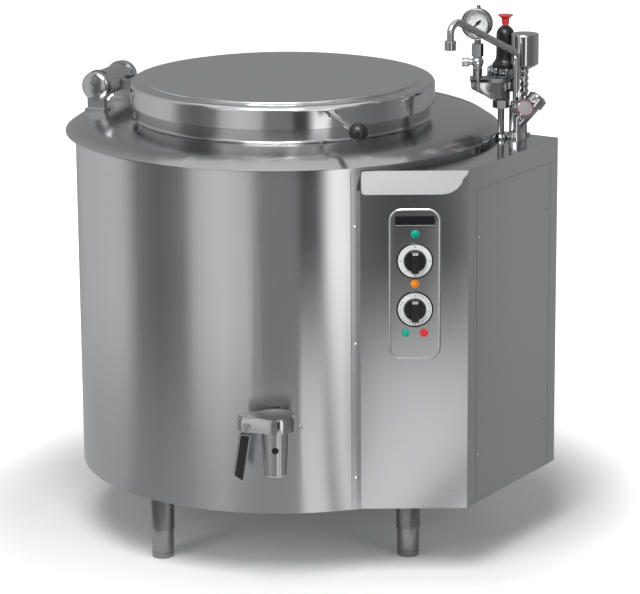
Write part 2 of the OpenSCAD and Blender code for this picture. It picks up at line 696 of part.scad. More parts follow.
// The lever's outline: two circles and the band between their tangents
module lever_outline(inset) {
    r1 = tap_cap_r - inset;
    r2 = arm_end_r - inset;
    a = 180 - acos((r1 - r2) / -arm_end_x);
    circle(r = r1);
    translate([arm_end_x, 0]) circle(r = r2);
    polygon([r1 * [cos(a), sin(a)], [arm_end_x, 0] + r2 * [cos(a), sin(a)],
             [arm_end_x, 0] + r2 * [cos(a), -sin(a)], r1 * [cos(a), -sin(a)]]);
}
module tap_lever() {
    wall = 3;
    z0 = tap_top_z + seat;
    lip_h = 15;
    dish_r = 200;
    dish_d = 3;
    color(chrome) at_tap() difference() {
        union() {
            difference() {
                union() {
                    translate([0, 0, z0]) linear_extrude(height = lever_h) lever_outline(0);
                    translate([pin_x, boss_y, z0 + pin_z]) to_front() cylinder(r = 8, h = 2 * boss_y);
                }
                translate([0, 0, z0 - 1]) linear_extrude(height = lever_h - 3) lever_outline(wall);
            }
            translate([0, 0, z0]) cylinder(r = 16, h = lever_h - 1);
            // Raised lip round the back of the cap, cut off by a plane that falls to the front
            intersection() {
                translate([0, 0, z0 + lever_h - 1]) difference() {
                    cylinder(r1 = tap_cap_r, r2 = tap_cap_r - 3, h = lip_h + 1);
                    translate([0, -6, 0.5]) cylinder(r1 = tap_cap_r - 11, r2 = tap_cap_r + 3, h = lip_h + 1);
                }
                translate([0, 0, z0 + lever_h - 2]) rotate([24, 0, 0]) translate([-50, -4, -40]) cube([100, 60, 42]);
            }
        }
        translate([0, 0, z0 - 1]) cylinder(r = 11, h = 21);
        translate([0, -2, z0 + lever_h - dish_d + dish_r]) sphere(r = dish_r, $fn = 96);
        translate([pin_x, 30, z0 + pin_z]) to_front() cylinder(r = 4, h = 60);
    }
}
grip_tilt = 9;
grip_w = 25;
grip_t = 18;
grip_drop = 18;
boss_y = 23;
module at_grip() {
    translate([tap_x + pin_x, tap_y, tap_top_z + seat + pin_z]) rotate([0, grip_tilt, 0]) children();
}
module grip_cut() {
    translate([0, 0, -grip_drop - grip_len]) rotate([0, 26, 0]) translate([-60, -30, -40]) cube([120, 60, 40 + 2]);
}
module tap_grip() {
    color(chrome) at_grip() difference() {
        union() {
            translate([-grip_w / 2, -grip_t / 2, -grip_drop - grip_len - 4]) cube([grip_w, grip_t, grip_len + 4]);
            translate([-8, -4, -grip_drop - 1]) cube([16, 8, grip_drop + 1]);
            rotate([90, 0, 0]) cylinder(r = 8, h = 8, center = true);
        }
        translate([-grip_w / 2 + 4, -grip_t, -grip_drop - grip_len - 9]) cube([grip_w - 8, grip_t + 5, grip_len + 5]);
        rotate([90, 0, 0]) cylinder(r = 4 + run, h = 30, center = true);
        grip_cut();
    }
}
module grip_insert() {
    color(black) at_grip() difference() {
        translate([-grip_w / 2 + 4, -grip_t / 2 + 0.8, -grip_drop - grip_len - 4]) cube([grip_w - 8, 12.6, grip_len - 0.3]);
        grip_cut();
    }
}
module tap_pin() {
    color(chrome) translate([tap_x + pin_x, tap_y, tap_top_z + seat + pin_z]) {
        rotate([90, 0, 0]) cylinder(r = 4, h = 2 * boss_y, center = true);
        for (s = [-1, 1]) translate([0, s * (boss_y + 1.2), 0]) rotate([90, 0, 0]) cylinder(r = 6.5, h = 2.4, center = true);
    }
}

// Water and safety group, on top of the control box
riser_at = mixer_at + [-31, 10];
cup_at = mixer_at + [20, 44];
valve_at = mixer_at + [-19, 80];
gauge_at = mixer_at + [-81, 18];
manifold_y = gauge_at[1];
body_z = worktop_z + 56;
body_h = 46;
body_half = 16;
body_top = body_z + body_h;
valve_z0 = body_top - 14;
// A straight round bar between two points
module bar(a, b, r1, r2) {
    d = b - a;
    translate(a) rotate([0, acos(d[2] / norm(d)), atan2(d[1], d[0])]) cylinder(r1 = r1, r2 = r2 == undef ? r1 : r2, h = norm(d));
}
module riser_pipe() {
    nut_r = 18;
    color(steel) translate([riser_at[0], riser_at[1], 0]) difference() {
        union() {
            translate([0, 0, box_top_z]) cylinder(r = 13.5, h = 4);
            translate([0, 0, box_top_z + 4]) cylinder(r1 = 12.5, r2 = 10, h = box_gap - 4.5);
            translate([0, 0, box_top_z - 40]) cylinder(r = 7, h = body_z - 14 - box_top_z + 40);
            translate([0, 0, body_z - 17]) cylinder(r = nut_r, h = 17, $fn = 6);
        }
        translate([0, 0, box_top_z - 50]) cylinder(r = 5, h = body_z - box_top_z + 90);
    }
}
module manifold() {
    rim_h = 9;
    end_x = valve_at[0] + 6;
    left_x = gauge_at[0] - 13;
    color([0.35, 0.36, 0.37]) difference() {
        union() {
            // Cast body, with its tapered left end and a rim round its top
            translate([0, manifold_y + body_half, body_z]) rotate([90, 0, 0])
                linear_extrude(height = 2 * body_half) polygon([
                    [riser_at[0] - 22, 0], [end_x, 0], [end_x, body_h],
                    [left_x, body_h], [left_x, 24], [riser_at[0] - 32, 8]]);
            translate([left_x - 2, manifold_y - body_half - 2, body_top - rim_h])
                cube([end_x - left_x + 4, 2 * body_half + 4, rim_h]);
            // Bridge to the safety valve behind
            translate([valve_at[0], valve_at[1], body_z + 10]) cylinder(r = 17, h = valve_z0 - body_z - 10);
            translate([valve_at[0] - 15, manifold_y + body_half - 1, body_z + 12])
                cube([30, valve_at[1] - manifold_y - body_half + 1, valve_z0 - body_z - 12]);
            translate([gauge_at[0], gauge_at[1], body_top - eps]) cylinder(r = 10, h = cock_z - body_top + eps);
        }
        translate([riser_at[0], riser_at[1], body_z - 1]) cylinder(r = 6, h = body_h - 10);
    }
}
cock_z = body_top + 20;
cock_ball_z = cock_z + 13;
lever_y = manifold_y - body_half - 9;
module gauge_cock() {
    color(chrome) translate([gauge_at[0], gauge_at[1], cock_z]) difference() {
        union() {
            cylinder(r = 9.5, h = 22);
            translate([0, 0, 13]) sphere(r = 13);
            translate([0, 0, 21]) cylinder(r1 = 7.5, r2 = 11, h = 5);
            translate([0, 0, 25.5]) cylinder(r = 12.5, h = 26.5, $fn = 6);
            translate([-18, 0, 13]) rotate([0, 90, 0]) cylinder(r = 6.5, h = 18);
            translate([0, 0, 13]) to_front() cylinder(r = 6, h = 17);
        }
        translate([-19, 0, 13]) rotate([0, 90, 0]) cylinder(r = 3 + run, h = 12);
        translate([0, -8, 13]) to_front() cylinder(r = 3 + run, h = 12);
    }
}
module cock_knob() {
    knurl = 16;
    color(chrome) translate([gauge_at[0] - 18 - seat, gauge_at[1], cock_ball_z]) rotate([0, -90, 0]) difference() {
        union() {
            cylinder(r = 9.5, h = 14);
            translate([0, 0, -10]) cylinder(r = 3, h = 11);
        }
        for (a = [0 : 360 / knurl : 359]) rotate([0, 0, a]) translate([10, 0, 2.5]) cylinder(r = 1.1, h = 9, $fn = 16);
    }
}
module cock_lever() {
    color(chrome) translate([gauge_at[0], lever_y, cock_ball_z]) {
        sphere(r = 6.5);
        translate([0, 15, 0]) to_front() cylinder(r = 3, h = 15);
        translate([0, 0, -60]) cylinder(r1 = 3, r2 = 3.6, h = 60);
    }
}
gauge_z = cock_z + 64 + gauge_d / 2;
gauge_depth = 28;
// The gauge's frame: Z comes out of its face
module at_gauge() {
    translate([gauge_at[0], gauge_at[1], gauge_z]) rotate([0, 0, -gauge_turn]) rotate([90, 0, 0])
        translate([0, 0, -gauge_depth / 2]) children();
}
module gauge_case() {
    r = gauge_d / 2;
    color(steel) difference() {
        union() {
            at_gauge() rotate_extrude($fn = 96) polygon([
                [0, 0], [r - 4, 0], [r - 1.5, 3], [r - 1.5, gauge_depth - 8], [r + 1.5, gauge_depth - 7],
                [r + 1.5, gauge_depth - 1], [r - 1, gauge_depth], [r - 4, gauge_depth], [r - 4, 12], [0, 12]]);
            at_gauge() translate([0, r - 3, 9]) rotate([-90, 0, 0]) cylinder(r1 = 5, r2 = 3.5, h = 9);
            translate([gauge_at[0], gauge_at[1], cock_z + 52]) cylinder(r = 7, h = 15);
        }
        at_gauge() translate([0, 0, 12]) cylinder(r = r - 4, h = 40);
    }
}
module gauge_dial() {
    color("white") at_gauge() translate([0, 0, 12]) tube(gauge_d / 2 - 4.1, 1.5 + run, 1.2);
}
module gauge_pointer() {
    pointer_turn = 225;
    reach = gauge_d / 2 - 10;
    color(black) at_gauge() {
        translate([0, 0, 12.2]) cylinder(r = 1.5, h = 3.6, $fn = 32);
        translate([0, 0, 14]) cylinder(r = 3.6, h = 1.8, $fn = 32);
        rotate([0, 0, pointer_turn]) translate([0, 0, 14.2]) linear_extrude(height = 1)
            polygon([[-9, -1.8], [0, -2.2], [reach, -0.4], [reach, 0.4], [0, 2.2], [-9, 1.8]]);
    }
}
module gauge_glass() {
    color([0.9, 0.95, 1, 0.3]) at_gauge() translate([0, 0, gauge_depth - 4]) cylinder(r = gauge_d / 2 - 4.1, h = 2);
}
rib_r = 38;
module valve_body() {
    ribs = 20;
    color(chrome) translate([valve_at[0], valve_at[1], valve_z0]) difference() {
        union() {
            // Ribbed bonnet on a flange with a sloping rim
            cylinder(r1 = 30, r2 = rib_r + 4, h = 4);
            translate([0, 0, 4]) cylinder(r1 = rib_r + 4, r2 = rib_r, h = 2.5);
            translate([0, 0, 4]) cylinder(r = rib_r - 3, h = 22);
            for (a = [0 : 360 / ribs : 359]) rotate([0, 0, a]) translate([rib_r - 3.5, 0, 5]) cylinder(r = 3.5, h = 19, $fn = 24);
            cylinder(r = 5, h = 116);
            cylinder(r = 13, h = 44);
        }
        translate([0, 0, 92]) cylinder(r = 2.5 + run, h = 60);
    }
}
valve_cap_z = valve_z0 + 26;
valve_cap_h = 88;
module valve_cap() {
    r = valve_d / 2;
    dome = valve_cap_h - r;
    color(black) translate([valve_at[0], valve_at[1], valve_cap_z + seat]) rotate_extrude()
        polygon(concat([[13.2, 0], [r + 8, 0], [r + 8, 6], [r + 3, 12], [r + 1.2, 16], [r, 24], [r, dome]],
            [for (a = [15 : 15 : 60]) [r * cos(a), dome + r * sin(a)]],
            [[6.5, valve_cap_h], [5.1, valve_cap_h], [5.1, 18], [13.2, 18]]));
}
module valve_knob() {
    color([0.8, 0.06, 0.06]) translate([valve_at[0], valve_at[1], valve_z0 + 116 + seat]) {
        rotate_extrude() polygon([[0, 0], [7.5, 0], [8, 11], [10, 15], [16, 19], [16, 20.5], [0, 20.5]]);
        translate([0, 0, -18]) cylinder(r = 2.5, h = 19);
    }
}
cup_z = worktop_z + 126;
module filling_cup() {
    r = cup_d / 2;
    h = 62;
    beads = [0 : 4];
    color(chrome) translate([cup_at[0], cup_at[1], 0]) difference() {
        union() {
            translate([0, 0, cup_z]) cylinder(r = r, h = h);
            translate([0, 0, cup_z - 12]) cylinder(r1 = 9, r2 = r, h = 12);
            for (i = beads) translate([0, 0, cup_z - 22 - i * 14]) {
                cylinder(r1 = 8, r2 = 9.5, h = 5);
                translate([0, 0, 5]) cylinder(r1 = 9.5, r2 = 8, h = 5);
            }
            translate([0, 0, box_top_z - 20]) cylinder(r = 7, h = cup_z - box_top_z + 12);
            translate([0, 0, box_top_z]) cylinder(r = 14, h = 4);
        }
        translate([0, 0, cup_z + 1.5]) cylinder(r = r - 1.5, h = h + 8);
        translate([0, 0, box_top_z - 30]) cylinder(r = 4, h = 300);
    }
}
module cup_lid() {
    r = cup_d / 2;
    color(chrome) translate([cup_at[0], cup_at[1], cup_z + 62 + seat]) {
        cylinder(r1 = r, r2 = r - 1, h = 2);
        translate([0, 0, -6]) cylinder(r = r - 1.5 - 0.35, h = 6.2);
    }
}

// Mixer tap with two knobs and a swivel spout
collar_z = worktop_z + 44;
collar_r = 12;
arm_dir = unit([50, 0, 66]);
front_dir = unit([12, -45, 14]);
arm_from = [mixer_at[0] + 2, mixer_at[1], worktop_z + 2];
front_from = [mixer_at[0] + 4, mixer_at[1] - 2, worktop_z + 34];
arm_seat = arm_from + 56 * arm_dir;
front_seat = front_from + 27 * front_dir;
spindle_d = 8;
module mixer_body() {
    color(chrome) difference() {
        union() {
            translate([mixer_at[0], mixer_at[1], box_top_z]) {
                cylinder(r1 = 18.5, r2 = 18, h = 5);
                translate([0, 0, 5]) cylinder(r1 = 18, r2 = 15, h = 12);
                translate([0, 0, -28]) cylinder(r = 10, h = 30);
            }
            translate([mixer_at[0], mixer_at[1], box_top_z + 10]) cylinder(r = 14.5, h = collar_z - box_top_z - 10);
            bar(arm_from, arm_seat, 13, 17);
            bar(front_from, front_seat, 13, 16);
        }
        translate([mixer_at[0], mixer_at[1], collar_z - 26]) cylinder(r = spout_d / 2 + run, h = 40);
        translate([mixer_at[0], mixer_at[1], collar_z]) cylinder(r = collar_r + seat, h = 30);
        bar(arm_seat - 16 * arm_dir, arm_seat + arm_dir, spindle_d / 2 + run);
        bar(front_seat - 14 * front_dir, front_seat + front_dir, spindle_d / 2 + run);
    }
}
// A lobed tap knob whose face looks along a given direction
module tap_knob(at, dir, tint) {
    lobes = 5;
    color(chrome) translate(at + seat * dir) rotate([0, acos(dir[2]), atan2(dir[1], dir[0])]) {
        difference() {
            cylinder(r = 21, h = 19);
            for (a = [0 : 360 / lobes : 359]) rotate([0, 0, a + 36]) translate([23.5, 0, 6]) cylinder(r = 6, h = 30);
        }
        translate([0, 0, -12]) cylinder(d = spindle_d, h = 13);
    }
    color(tint) translate(at + (seat + 18.5) * dir) rotate([0, acos(dir[2]), atan2(dir[1], dir[0])])
        cylinder(r1 = 16.5, r2 = 15, h = 3.5);
}
rise = 26;
riser_bend = 24;
neck_bend = 21;
spout_up_z = worktop_z + 142;
neck_drop = 14;
nozzle_h = 19;
reach_len = (spout_reach - neck_bend * (1 + sin(rise)) - riser_bend * (1 - sin(rise))) / cos(rise);
reach_start = [riser_bend * (1 - sin(rise)), spout_up_z + riser_bend * cos(rise)];
nozzle_x = reach_start[0] + reach_len * cos(rise) + neck_bend * (1 + sin(rise));
nozzle_z = reach_start[1] + reach_len * sin(rise) - neck_bend * cos(rise) - neck_drop - nozzle_h;
// The spout is one tube along its path. Each ring is [across, up, lean from upright, radius].
function bend_rings(c, r, from, to, n) = [for (i = [0 : n]) let (a = from + (to - from) * i / n)
    [c[0] - r * cos(a), c[1] + r * sin(a), a, spout_d / 2]];
reach_end = reach_start + reach_len * [cos(rise), sin(rise)];
spout_rings = concat(
    [[0, collar_z - 25, 0, spout_d / 2], [0, collar_z + seat, 0, spout_d / 2], [0, collar_z + seat, 0, collar_r],
     [0, collar_z + 9, 0, collar_r], [0, collar_z + 9, 0, spout_d / 2]],
    bend_rings([riser_bend, spout_up_z], riser_bend, 0, 90 - rise, 6),
    bend_rings([reach_end[0] + neck_bend * sin(rise), reach_end[1] - neck_bend * cos(rise)], neck_bend, 90 - rise, 180, 10),
    [[nozzle_x, nozzle_z + nozzle_h, 180, spout_d / 2], [nozzle_x, nozzle_z + nozzle_h, 180, 11],
     [nozzle_x, nozzle_z + nozzle_h - 1, 180, 12], [nozzle_x, nozzle_z, 180, 12], [nozzle_x, nozzle_z, 180, 9.5],
     [nozzle_x, nozzle_z + 7, 180, 9.5]]);
module swivel_spout() {
    heading = 224;
    sides = 24;
    n = len(spout_rings) - 1;
    points = [for (q = spout_rings, j = [0 : sides - 1]) let (b = 360 * j / sides)
        [q[0] + q[3] * cos(b) * cos(q[2]), q[3] * sin(b), q[1] - q[3] * cos(b) * sin(q[2])]];
    faces = concat(
        [[for (j = [0 : sides - 1]) j]],
        [for (i = [0 : n - 1], j = [0 : sides - 1]) let (k = (j + 1) % sides)
            [i * sides + j, (i + 1) * sides + j, (i + 1) * sides + k, i * sides + k]],
        [[for (j = [sides - 1 : -1 : 0]) n * sides + j]]);
    color(chrome) translate([mixer_at[0], mixer_at[1], 0]) rotate([0, 0, heading]) polyhedron(points, faces);
}

outer_casing();
base_plate();
leg_tubes();
foot(0);  // foot_1
foot(1);  // foot_2
foot(2);  // foot_3
foot(3);  // foot_4
top_deck();
vessel();
steam_jacket();
insulation();
heating_elements();
drain_pipe();
front_panel();
box_frame();
side_cover();
box_top();
control_plate();
dial_rings();
knob(selector_z);  // selector_knob
knob(thermostat_z);  // thermostat_knob
switch_gear();
color([0.05, 0.6, 0.5]) for (at = lamp_list) lamp(at);  // green_lamps
color([0.95, 0.5, 0.1]) lamp(orange_at);  // orange_lamp
color([0.85, 0.2, 0.2]) lamp(red_at);  // red_lamp
panel_screws();
lid_shell();
lid_liner();
lid_handle();
lid_ball();
hinge_pedestals();
hinge_barrel();
barrel_caps();
hinge_shaft();
hinge_spring();
lid_arms();
tap_body();
tap_plug();
tap_lever();
tap_grip();
grip_insert();
tap_pin();
manifold();
riser_pipe();
gauge_case();
gauge_dial();
gauge_pointer();
gauge_glass();
gauge_cock();
cock_knob();
cock_lever();
valve_body();
valve_cap();
valve_knob();
filling_cup();
cup_lid();
mixer_body();
tap_knob(front_seat, front_dir, [0.7, 0.1, 0.15]);  // hot_knob
tap_knob(arm_seat, arm_dir, [0.1, 0.4, 0.6]);  // cold_knob
swivel_spout();
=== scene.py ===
"""Electric boiling pan with a balanced lid, a side control box, a drain tap and a water group."""
import json
import math

import bmesh
import bpy
from mathutils import Matrix, Vector


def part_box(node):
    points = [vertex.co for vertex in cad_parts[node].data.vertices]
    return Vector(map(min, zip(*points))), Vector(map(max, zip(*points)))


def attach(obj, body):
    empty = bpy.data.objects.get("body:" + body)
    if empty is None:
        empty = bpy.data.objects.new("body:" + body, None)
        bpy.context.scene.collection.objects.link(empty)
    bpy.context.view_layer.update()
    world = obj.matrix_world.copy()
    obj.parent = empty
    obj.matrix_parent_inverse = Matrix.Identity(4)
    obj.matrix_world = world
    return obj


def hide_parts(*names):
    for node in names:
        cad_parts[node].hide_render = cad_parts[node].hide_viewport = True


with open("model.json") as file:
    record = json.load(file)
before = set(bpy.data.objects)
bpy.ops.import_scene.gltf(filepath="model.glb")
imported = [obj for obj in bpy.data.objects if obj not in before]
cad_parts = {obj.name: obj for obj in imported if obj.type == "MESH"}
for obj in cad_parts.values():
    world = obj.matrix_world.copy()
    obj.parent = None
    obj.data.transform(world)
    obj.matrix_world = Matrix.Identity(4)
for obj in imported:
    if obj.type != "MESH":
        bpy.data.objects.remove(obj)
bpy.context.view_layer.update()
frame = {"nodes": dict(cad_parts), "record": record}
bodies = frame["record"]["behaviour"]["bodies"]
body_of_node = {node: body for body, nodes in bodies.items() for node in nodes}


# Studio: a pale floor, a soft lamp overhead, two upright lamps and a ring of grey cards
# that only reflections see. The camera stands in front of the pan, looking down a little.
view = bpy.context.scene
view.view_settings.view_transform = "Standard"
aim = Vector((0.0773, 0.0, 0.5006))
pitch = math.radians(14.69)
roll = math.radians(-0.39)
stand_off = 6.719
film_width = 36.0
focal_length_px, picture_width_px = 3078.4, 640.0
camera = bpy.data.objects.new("camera", bpy.data.cameras.new("camera"))
view.collection.objects.link(camera)
camera_turn = Matrix.Rotation(math.pi / 2 - pitch, 4, "X") @ Matrix.Rotation(roll, 4, "Z")
camera_place = aim + stand_off * Vector((0.0, -math.cos(pitch), math.sin(pitch)))
camera.matrix_world = Matrix.Translation(camera_place) @ camera_turn
camera.data.sensor_width = film_width
camera.data.lens = film_width * focal_length_px / picture_width_px
camera.data.clip_end = 200.0
view.camera = camera


def studio_lamp(name, place, target, size, power):
    lamp = bpy.data.lights.new(name, "AREA")
    lamp.shape = "RECTANGLE"
    lamp.size, lamp.size_y = size
    lamp.energy = power
    stand = bpy.data.objects.new(name, lamp)
    stand.location = place
    stand.rotation_mode = "QUATERNION"
    stand.rotation_quaternion = (Vector(target) - Vector(place)).to_track_quat("-Z", "Y")
    view.collection.objects.link(stand)


studio_lamp("overhead_lamp", (-0.4, -2.2, 3.3), (0.0, 0.0, 0.0), (1.8, 1.8), 115)
studio_lamp("left_lamp", (-3.4, -3.6, 2.6), (0.0, 0.0, 0.6), (1.4, 2.4), 48)
studio_lamp("right_lamp", (3.6, -3.8, 2.4), (0.2, 0.0, 0.7), (1.4, 2.4), 44)


def seen_by_eye(tree):
    """1 for camera, glossy and transmission rays, and 0 for the light that falls on things."""
    rays = tree.nodes.new("ShaderNodeLightPath")
    mirrored = tree.nodes.new("ShaderNodeMath")
    mirrored.operation = "MAXIMUM"
    through = tree.nodes.new("ShaderNodeMath")
    through.operation = "MAXIMUM"
    tree.links.new(rays.outputs["Is Camera Ray"], mirrored.inputs[0])
    tree.links.new(rays.outputs["Is Glossy Ray"], mirrored.inputs[1])
    tree.links.new(mirrored.outputs[0], through.inputs[0])
    tree.links.new(rays.outputs["Is Transmission Ray"], through.inputs[1])
    return through.outputs[0]


studio_world = bpy.data.worlds.new("studio_world")
view.world = studio_world
studio_world.use_nodes = True
air = studio_world.node_tree
air.nodes.clear()
air_out = air.nodes.new("ShaderNodeOutputWorld")
air_glow = air.nodes.new("ShaderNodeBackground")
air_level = air.nodes.new("ShaderNodeMapRange")
air_level.inputs["To Min"].default_value = 0.26
air_level.inputs["To Max"].default_value = 1.0
air_glow.inputs["Color"].default_value = (1, 1, 1, 1)
air.links.new(seen_by_eye(air), air_level.inputs["Value"])
air.links.new(air_level.outputs["Result"], air_glow.inputs["Strength"])
air.links.new(air_glow.outputs[0], air_out.inputs[0])


def new_piece(name, verts, faces):
    mesh = bpy.data.meshes.new(name)
    mesh.from_pydata([tuple(v) for v in verts], [], faces)
    mesh.update()
    piece = bpy.data.objects.new(name, mesh)
    view.collection.objects.link(piece)
    return piece


floor_reach = 40
floor_corners = [(x * floor_reach, y * floor_reach, 0) for x, y in ((-1, -1), (1, -1), (1, 1), (-1, 1))]
floor = new_piece("studio_floor", floor_corners, [(0, 1, 2, 3)])
floor_paint = bpy.data.materials.new("floor_paint")
floor_paint.use_nodes = True
paint = floor_paint.node_tree
paint_shader = paint.nodes["Principled BSDF"]
paint_shader.inputs["Base Color"].default_value = (0.86, 0.86, 0.86, 1)
paint_shader.inputs["Roughness"].default_value = 0.9
paint_shader.inputs["Specular IOR Level"].default_value = 0.0
paint_shader.inputs["Emission Color"].default_value = (1, 1, 1, 1)
# The floor is paler away from the pan: a painted glow, seen only by camera, glossy and transmission rays,
# rises from 0.57 to 1.1 m out, so the pan's shadow ends there and the floor beyond is white
paint_place = paint.nodes.new("ShaderNodeTexCoord")
paint_away = paint.nodes.new("ShaderNodeVectorMath")
paint_away.operation = "LENGTH"
floor_glow_ramp = paint.nodes.new("ShaderNodeMapRange")
floor_glow_ramp.interpolation_type = "SMOOTHSTEP"
for socket, value in (("From Min", 0.57), ("From Max", 1.1), ("To Min", 0.04), ("To Max", 0.95)):
    floor_glow_ramp.inputs[socket].default_value = value
painted_floor_glow = paint.nodes.new("ShaderNodeMath")
painted_floor_glow.operation = "MULTIPLY"
paint.links.new(paint_place.outputs["Object"], paint_away.inputs[0])
paint.links.new(paint_away.outputs["Value"], floor_glow_ramp.inputs["Value"])
paint.links.new(floor_glow_ramp.outputs["Result"], painted_floor_glow.inputs[0])
paint.links.new(seen_by_eye(paint), painted_floor_glow.inputs[1])
paint.links.new(painted_floor_glow.outputs[0], paint_shader.inputs["Emission Strength"])
floor.data.materials.append(floor_paint)

# Each row is (turn from the front in degrees, level near the floor, level at half a metre and above)
card_levels = [
    (-180, 0.34, 0.32), (-150, 0.34, 0.32), (-137, 0.45, 0.37), (-114, 0.46, 0.6), (-99, 0.48, 0.65),
    (-88, 0.48, 0.7), (-79, 0.46, 0.69), (-73, 0.36, 0.5), (-68, 0.32, 0.25), (-56, 0.31, 0.17),
    (-50, 0.34, 0.2), (-43, 0.35, 0.24), (-40, 0.38, 0.45), (-37, 0.42, 0.65), (-26, 0.54, 0.82),
    (-20, 0.42, 0.75), (-14, 0.38, 0.68), (-11, 0.37, 0.38), (-9, 0.37, 0.26), (6, 0.37, 0.26),
    (9, 0.98, 0.055), (17, 0.98, 0.055), (18.5, 0.7, 0.4), (20, 0.35, 0.8), (22, 0.5, 1.5),
    (27, 1.1, 1.5), (31.5, 0.6, 1.5), (33, 0.3, 0.2), (38, 0.3, 0.25), (50, 0.3, 0.22),
    (67, 0.3, 0.2), (80, 0.3, 0.28), (90, 0.33, 0.36), (115, 0.33, 0.36), (135, 0.3, 0.3),
    (150, 0.32, 0.32), (180, 0.32, 0.32)]
# The row below 0 lies on the floor near the pan, so the cards reach in under what its foot mirrors.
# The row at 1.0 is the cards' upper edge, and the others are heights in metres.
card_rows = (-1.0, 0.0, 0.05, 0.1, 0.15, 0.2, 0.25, 0.3, 0.35, 0.4, 0.45, 0.8, 1.0)
card_distance = 0.95
card_step_back = 0.55
mat_radius = 0.56
mat_height = 0.002


def soft_step(value, start, end):
    """0 up to start and 1 from end on, with an even bend between them."""
    share = min(1.0, max(0.0, (value - start) / (end - start)))
    return share * share * (3 - 2 * share)


def card_spot(turn, row):
    """The cards stand round the pan, further off before the control box, and lower there."""
    away = card_distance + card_step_back * soft_step(turn, 5, 9) * (1 - soft_step(turn, 36, 44))
    top = 1.15 if 4 < turn < 21 else 1.55 + 0.65 * soft_step(abs(turn), 55, 75)
    height = top if row == 1.0 else row
    if row < 0:
        away, height = mat_radius, mat_height
    return away * math.sin(math.radians(turn)), -away * math.cos(math.radians(turn)), height


def card_level(turn, height):
    """The level between the two nearest rows of the list, and between its low and high level."""
    for (turn_a, low_a, high_a), (turn_b, low_b, high_b) in zip(card_levels, card_levels[1:]):
        if turn_a <= turn <= turn_b:
            share = (turn - turn_a) / (turn_b - turn_a)
            low, high = low_a + share * (low_b - low_a), high_a + share * (high_b - high_a)
            return low + (high - low) * soft_step(height, 0.02, 0.45)


turns = list(range(-180, 181))
rows = len(card_rows)
card_faces = [(i * rows + k, (i + 1) * rows + k, (i + 1) * rows + k + 1, i * rows + k + 1)
              for i in range(len(turns) - 1) for k in range(rows - 1)]
cards = new_piece("grey_cards", [card_spot(t, row) for t in turns for row in card_rows], card_faces)
shade = cards.data.attributes.new("level", "FLOAT", "POINT")
for i, t in enumerate(turns):
    for k, height in enumerate(card_rows):
        shade.data[i * rows + k].value = card_level(t, max(0.0, height))
card_paint = bpy.data.materials.new("card_paint")
card_paint.use_nodes = True
card_tree = card_paint.node_tree
card_tree.nodes.clear()
card_out = card_tree.nodes.new("ShaderNodeOutputMaterial")
card_glow = card_tree.nodes.new("ShaderNodeEmission")
card_shade = card_tree.nodes.new("ShaderNodeAttribute")
card_shade.attribute_name = "level"
card_tree.links.new(card_shade.outputs["Fac"], card_glow.inputs["Strength"])
card_tree.links.new(card_glow.outputs[0], card_out.inputs[0])
cards.data.materials.append(card_paint)
cards.visible_camera = cards.visible_diffuse = cards.visible_shadow = cards.visible_transmission = False


# Legs: four stainless tubes welded under the base, each with a turned foot that screws in and out.
# The tubes are drawn with a fine satin finish and the feet are machined, so they shine more.
def wire(tree, start, end):
    tree.links.new(start, end)


def new_finish(name):
    finish = bpy.data.materials.new(name)
    finish.use_nodes = True
    return finish, finish.node_tree, finish.node_tree.nodes["Principled BSDF"]


def shade_from(tree, shader, noise, colour, contrast, margin):
    """The colour runs from a darker to a lighter tone of itself as the noise rises."""
    tone = tree.nodes.new("ShaderNodeValToRGB")
    dark, light = tone.color_ramp.elements
    dark.position, light.position = margin, 1 - margin
    dark.color = tuple(c * (1 - contrast) for c in colour) + (1,)
    light.color = tuple(min(1.0, c * (1 + contrast)) for c in colour) + (1,)
    wire(tree, noise, tone.inputs["Fac"])
    wire(tree, tone.outputs["Color"], shader.inputs["Base Color"])


def dull_from(tree, shader, noise, rough, swing, start=0.0, end=1.0):
    """The roughness swings about its middle value as the noise goes from start to end."""
    dull = tree.nodes.new("ShaderNodeMapRange")
    for socket, value in (("From Min", start), ("From Max", end),
                          ("To Min", rough * (1 - swing)), ("To Max", rough * (1 + swing))):
        dull.inputs[socket].default_value = value
    wire(tree, noise, dull.inputs["Value"])
    wire(tree, dull.outputs["Result"], shader.inputs["Roughness"])


def relief_from(tree, shader, noise, strength, depth):
    """A relief too fine to model, as deep as depth in metres."""
    relief = tree.nodes.new("ShaderNodeBump")
    relief.inputs["Strength"].default_value = strength
    relief.inputs["Distance"].default_value = depth
    wire(tree, noise, relief.inputs["Height"])
    wire(tree, relief.outputs[0], shader.inputs["Normal"])


def turned_grain(tree, place, fine):
    """A space that is fine along the distance from the upright axis and the same all the way round."""
    flat = tree.nodes.new("ShaderNodeVectorMath")
    flat.operation = "MULTIPLY"
    flat.inputs[1].default_value = (1, 1, 0)
    wire(tree, place, flat.inputs[0])
    away = tree.nodes.new("ShaderNodeVectorMath")
    away.operation = "LENGTH"
    wire(tree, flat.outputs[0], away.inputs[0])
    heading = tree.nodes.new("ShaderNodeVectorMath")
    heading.operation = "NORMALIZE"
    wire(tree, flat.outputs[0], heading.inputs[0])
    pair = tree.nodes.new("ShaderNodeSeparateXYZ")
    wire(tree, heading.outputs[0], pair.inputs[0])
    spread = tree.nodes.new("ShaderNodeMath")
    spread.operation = "MULTIPLY"
    spread.inputs[1].default_value = fine
    wire(tree, away.outputs["Value"], spread.inputs[0])
    lay = tree.nodes.new("ShaderNodeCombineXYZ")
    wire(tree, spread.outputs[0], lay.inputs[0])
    wire(tree, pair.outputs[0], lay.inputs[1])
    wire(tree, pair.outputs[1], lay.inputs[2])
    return lay.outputs[0]


